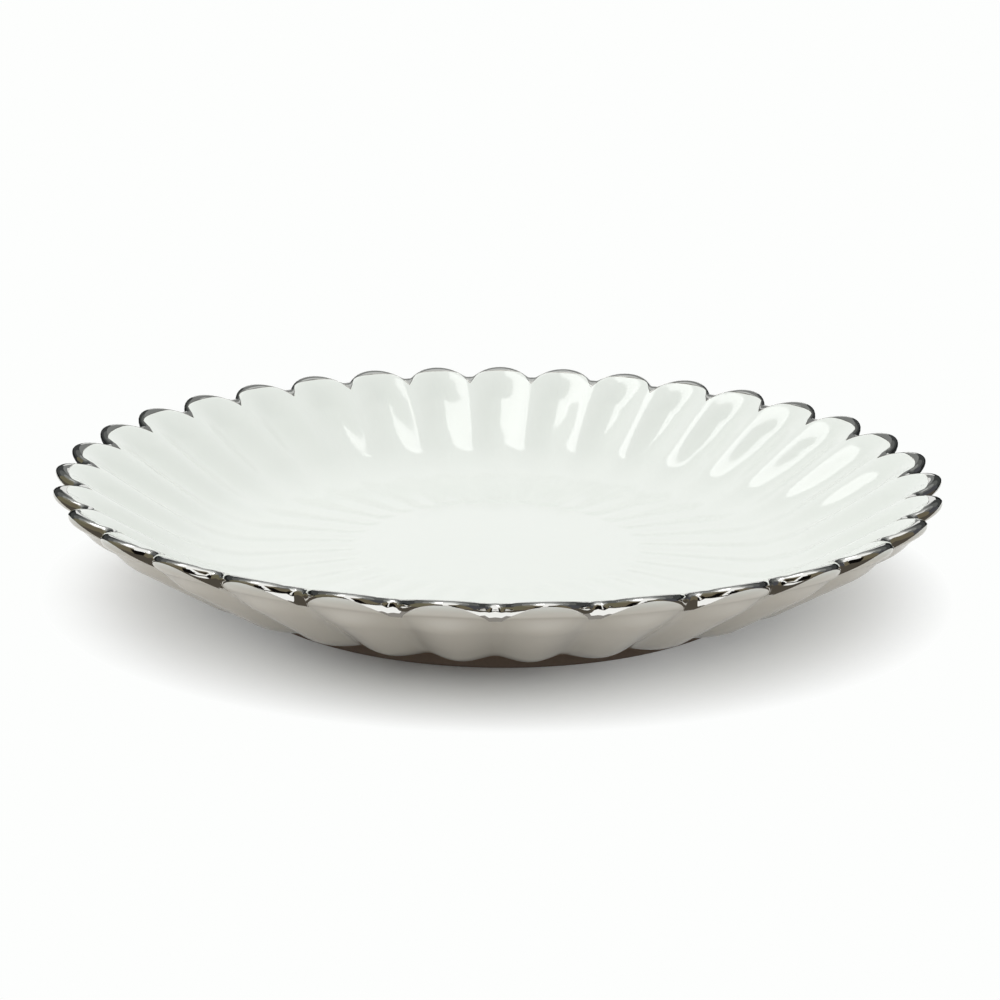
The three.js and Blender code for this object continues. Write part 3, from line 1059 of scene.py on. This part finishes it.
def studio_cards():
    """Cards round the table and mats on it, which give the silver its contrast."""
    cards = (
        # Middle, width, low and high edge in degrees, as seen from the dish
        (-50, 54, 0, 64, "#6b6453"),
        (-131, 60, 0, 64, "#6b6453"),
        (-90, 10, 15, 25, "#8f8d89"),
        (187, 56, 0, 46, "#6c6855"),
        (187, 56, 46, 66, "#7d796a"),
        (-5, 40, 0, 46, "#4b4c50"),
        (-5, 40, 46, 66, "#6d6e6c"),
        (90, 160, 62, 72, "#b8bab9"),
        (90, 160, 50, 62, "#8a8c8b"),
        (90, 160, 34, 50, "#616362"),
        (90, 160, 14, 34, "#414343"),
        (90, 160, 0, 14, "#1f2121"),
        (90, 32, 45, 72, "#c3c5c4"),
        (90, 32, 17, 45, "#808281"),
        (90, 40, 2, 6, "#868888"),
        (90, 40, 6, 17, "#e9eae9"),
    )
    steps, rows = 16, 5
    # Metres from the dish to the first card, and how much closer each further one stands
    furthest, closer = 0.95, 0.01
    for number, (middle, width, low, high, shade) in enumerate(cards):
        reach = furthest - closer * number
        corners = []
        for step in range(steps + 1):
            turn = math.radians(middle + width * (step / steps - 0.5))
            for row in range(rows + 1):
                rise = math.radians(mix(low, high, row / rows))
                flat = reach * math.cos(rise)
                spot = (flat * math.cos(turn), flat * math.sin(turn), reach * math.sin(rise))
                corners.append(spot)
        faces = []
        for step in range(steps):
            for a in range(step * (rows + 1), step * (rows + 1) + rows):
                faces.append((a, a + 1, a + rows + 2, a + rows + 1))
        mirror_only(f"card_{number}", corners, faces, shade)
    # Two small upright cards close by, which the near petals at the sides mirror as dark spots
    half, in_front, top = 0.055, -0.3, 0.3
    for name, middle in (("left_card", -0.088), ("right_card", 0.088)):
        corners = [
            (middle + aside, in_front, height) for height in (0.0, top) for aside in (-half, half)
        ]
        mirror_only(name, corners, [(0, 1, 3, 2)], "#0d0b0a")
    mats = (
        # Name, middle and width in degrees, near and far edge in metres
        ("front_mat", -90, 50, 0.19, 2.5, "#4f4a42"),
        ("near_mat", -90, 50, 0.06, 0.1, "#8d8a85"),
        ("right_mat", -32.5, 65, 0.06, 2.5, "#4f4a42"),
        ("left_mat", -147.5, 65, 0.06, 2.5, "#4f4a42"),
        ("back_mat", 90, 180, 0.06, 2.5, "#2f3131"),
    )
    for name, middle, width, near, far, shade in mats:
        mirror_only(name, *dark_mat(middle, width, near, far), shade)


class Stage(bpy.types.Operator):
    """Makes the paper sweep, the lamps, the cards and the camera"""

    bl_idname = "snack_dish.stage"
    bl_label = "Stage"

    def execute(self, context):
        scene = context.scene
        stage = scene.dish_stage
        scene.view_settings.view_transform = "Standard"
        world = bpy.data.worlds.new("studio")
        scene.world = world
        world.use_nodes = True
        tree = world.node_tree
        tree.nodes.clear()
        sky = add_node(
            tree,
            "ShaderNodeBackground",
            {},
            {"Color": linear(stage.sky_tint), "Strength": stage.sky},
        )
        white = add_node(
            tree, "ShaderNodeBackground", {}, {"Color": linear(stage.floor), "Strength": 1.0}
        )
        both = add_node(tree, "ShaderNodeMixShader", {}, {0: seen_rays(tree), 1: sky, 2: white})
        add_node(tree, "ShaderNodeOutputWorld", {}, {"Surface": both})
        half = 3.0  # Of the sweep's width, in metres
        flat_stage(
            "paper_sweep",
            [(-half, -half, 0), (half, -half, 0), (half, half, 0), (-half, half, 0)],
            [(0, 1, 2, 3)],
            paper_sweep(stage),
        )
        overhead = area_lamp(
            "overhead_softbox", place=(0.0, 0.1, 1.3), size=(1.5, 1.5), radiance=0.7
        )
        overhead.visible_glossy = False
        area_lamp(
            "window_lamp", place=(-0.395, 0.331, 0.916), size=(0.3, 0.76), radiance=3.0, spin=21.0
        )
        studio_cards()
        lens = bpy.data.cameras.new("camera")
        lens.sensor_width = 36.0
        lens.lens = stage.lens
        lens.clip_start = 0.01
        camera = bpy.data.objects.new("camera", lens)
        rise = stage.elevation
        back = Vector((0.0, -math.cos(rise), math.sin(rise)))
        up = Vector((0.0, math.sin(rise), math.cos(rise)))
        right = Vector((1.0, 0.0, 0.0))
        cosine, sine = math.cos(stage.roll), math.sin(stage.roll)
        axes = (right * cosine + up * sine, up * cosine - right * sine, back)
        turned = Matrix(axes).transposed().to_4x4()
        place = Vector(stage.target) + back * stage.distance
        camera.matrix_world = Matrix.Translation(place) @ turned
        scene.collection.objects.link(camera)
        scene.camera = camera
        return {"FINISHED"}


class DishPanel(bpy.types.Panel):
    """Lists what the dish is made of"""

    bl_idname = "VIEW3D_PT_snack_dish"
    bl_label = "Snack dish"
    bl_space_type = "VIEW_3D"
    bl_region_type = "UI"
    bl_category = "Dish"

    def draw(self, context):
        layout = self.layout
        for operator, settings in (
            (GlazedBody, context.scene.dish_shape),
            (SilverBand, context.scene.silver_shape),
            (Stage, context.scene.dish_stage),
        ):
            layout.operator(operator.bl_idname)
            for name in settings.__annotations__:
                layout.prop(settings, name)
        for name in context.scene.dish_finish.__annotations__:
            layout.prop(context.scene.dish_finish, name)


SETTINGS = {
    "dish_shape": DishShape,
    "silver_shape": SilverShape,
    "dish_finish": DishFinish,
    "dish_stage": StageSettings,
}
CLASSES = (*SETTINGS.values(), GlazedBody, SilverBand, Stage, DishPanel)


def register():
    """Adds the classes, and the settings to the scene."""
    for item in CLASSES:
        bpy.utils.register_class(item)
    for name, group in SETTINGS.items():
        setattr(bpy.types.Scene, name, PointerProperty(type=group))


def unregister():
    """Takes them away again."""
    for name in SETTINGS:
        delattr(bpy.types.Scene, name)
    for item in reversed(CLASSES):
        bpy.utils.unregister_class(item)


def main():
    """Builds the dish and its stage."""
    register()
    bpy.ops.snack_dish.glazed_body()
    bpy.ops.snack_dish.silver_band()
    bpy.ops.snack_dish.stage()


if __name__ == "__main__":
    main()
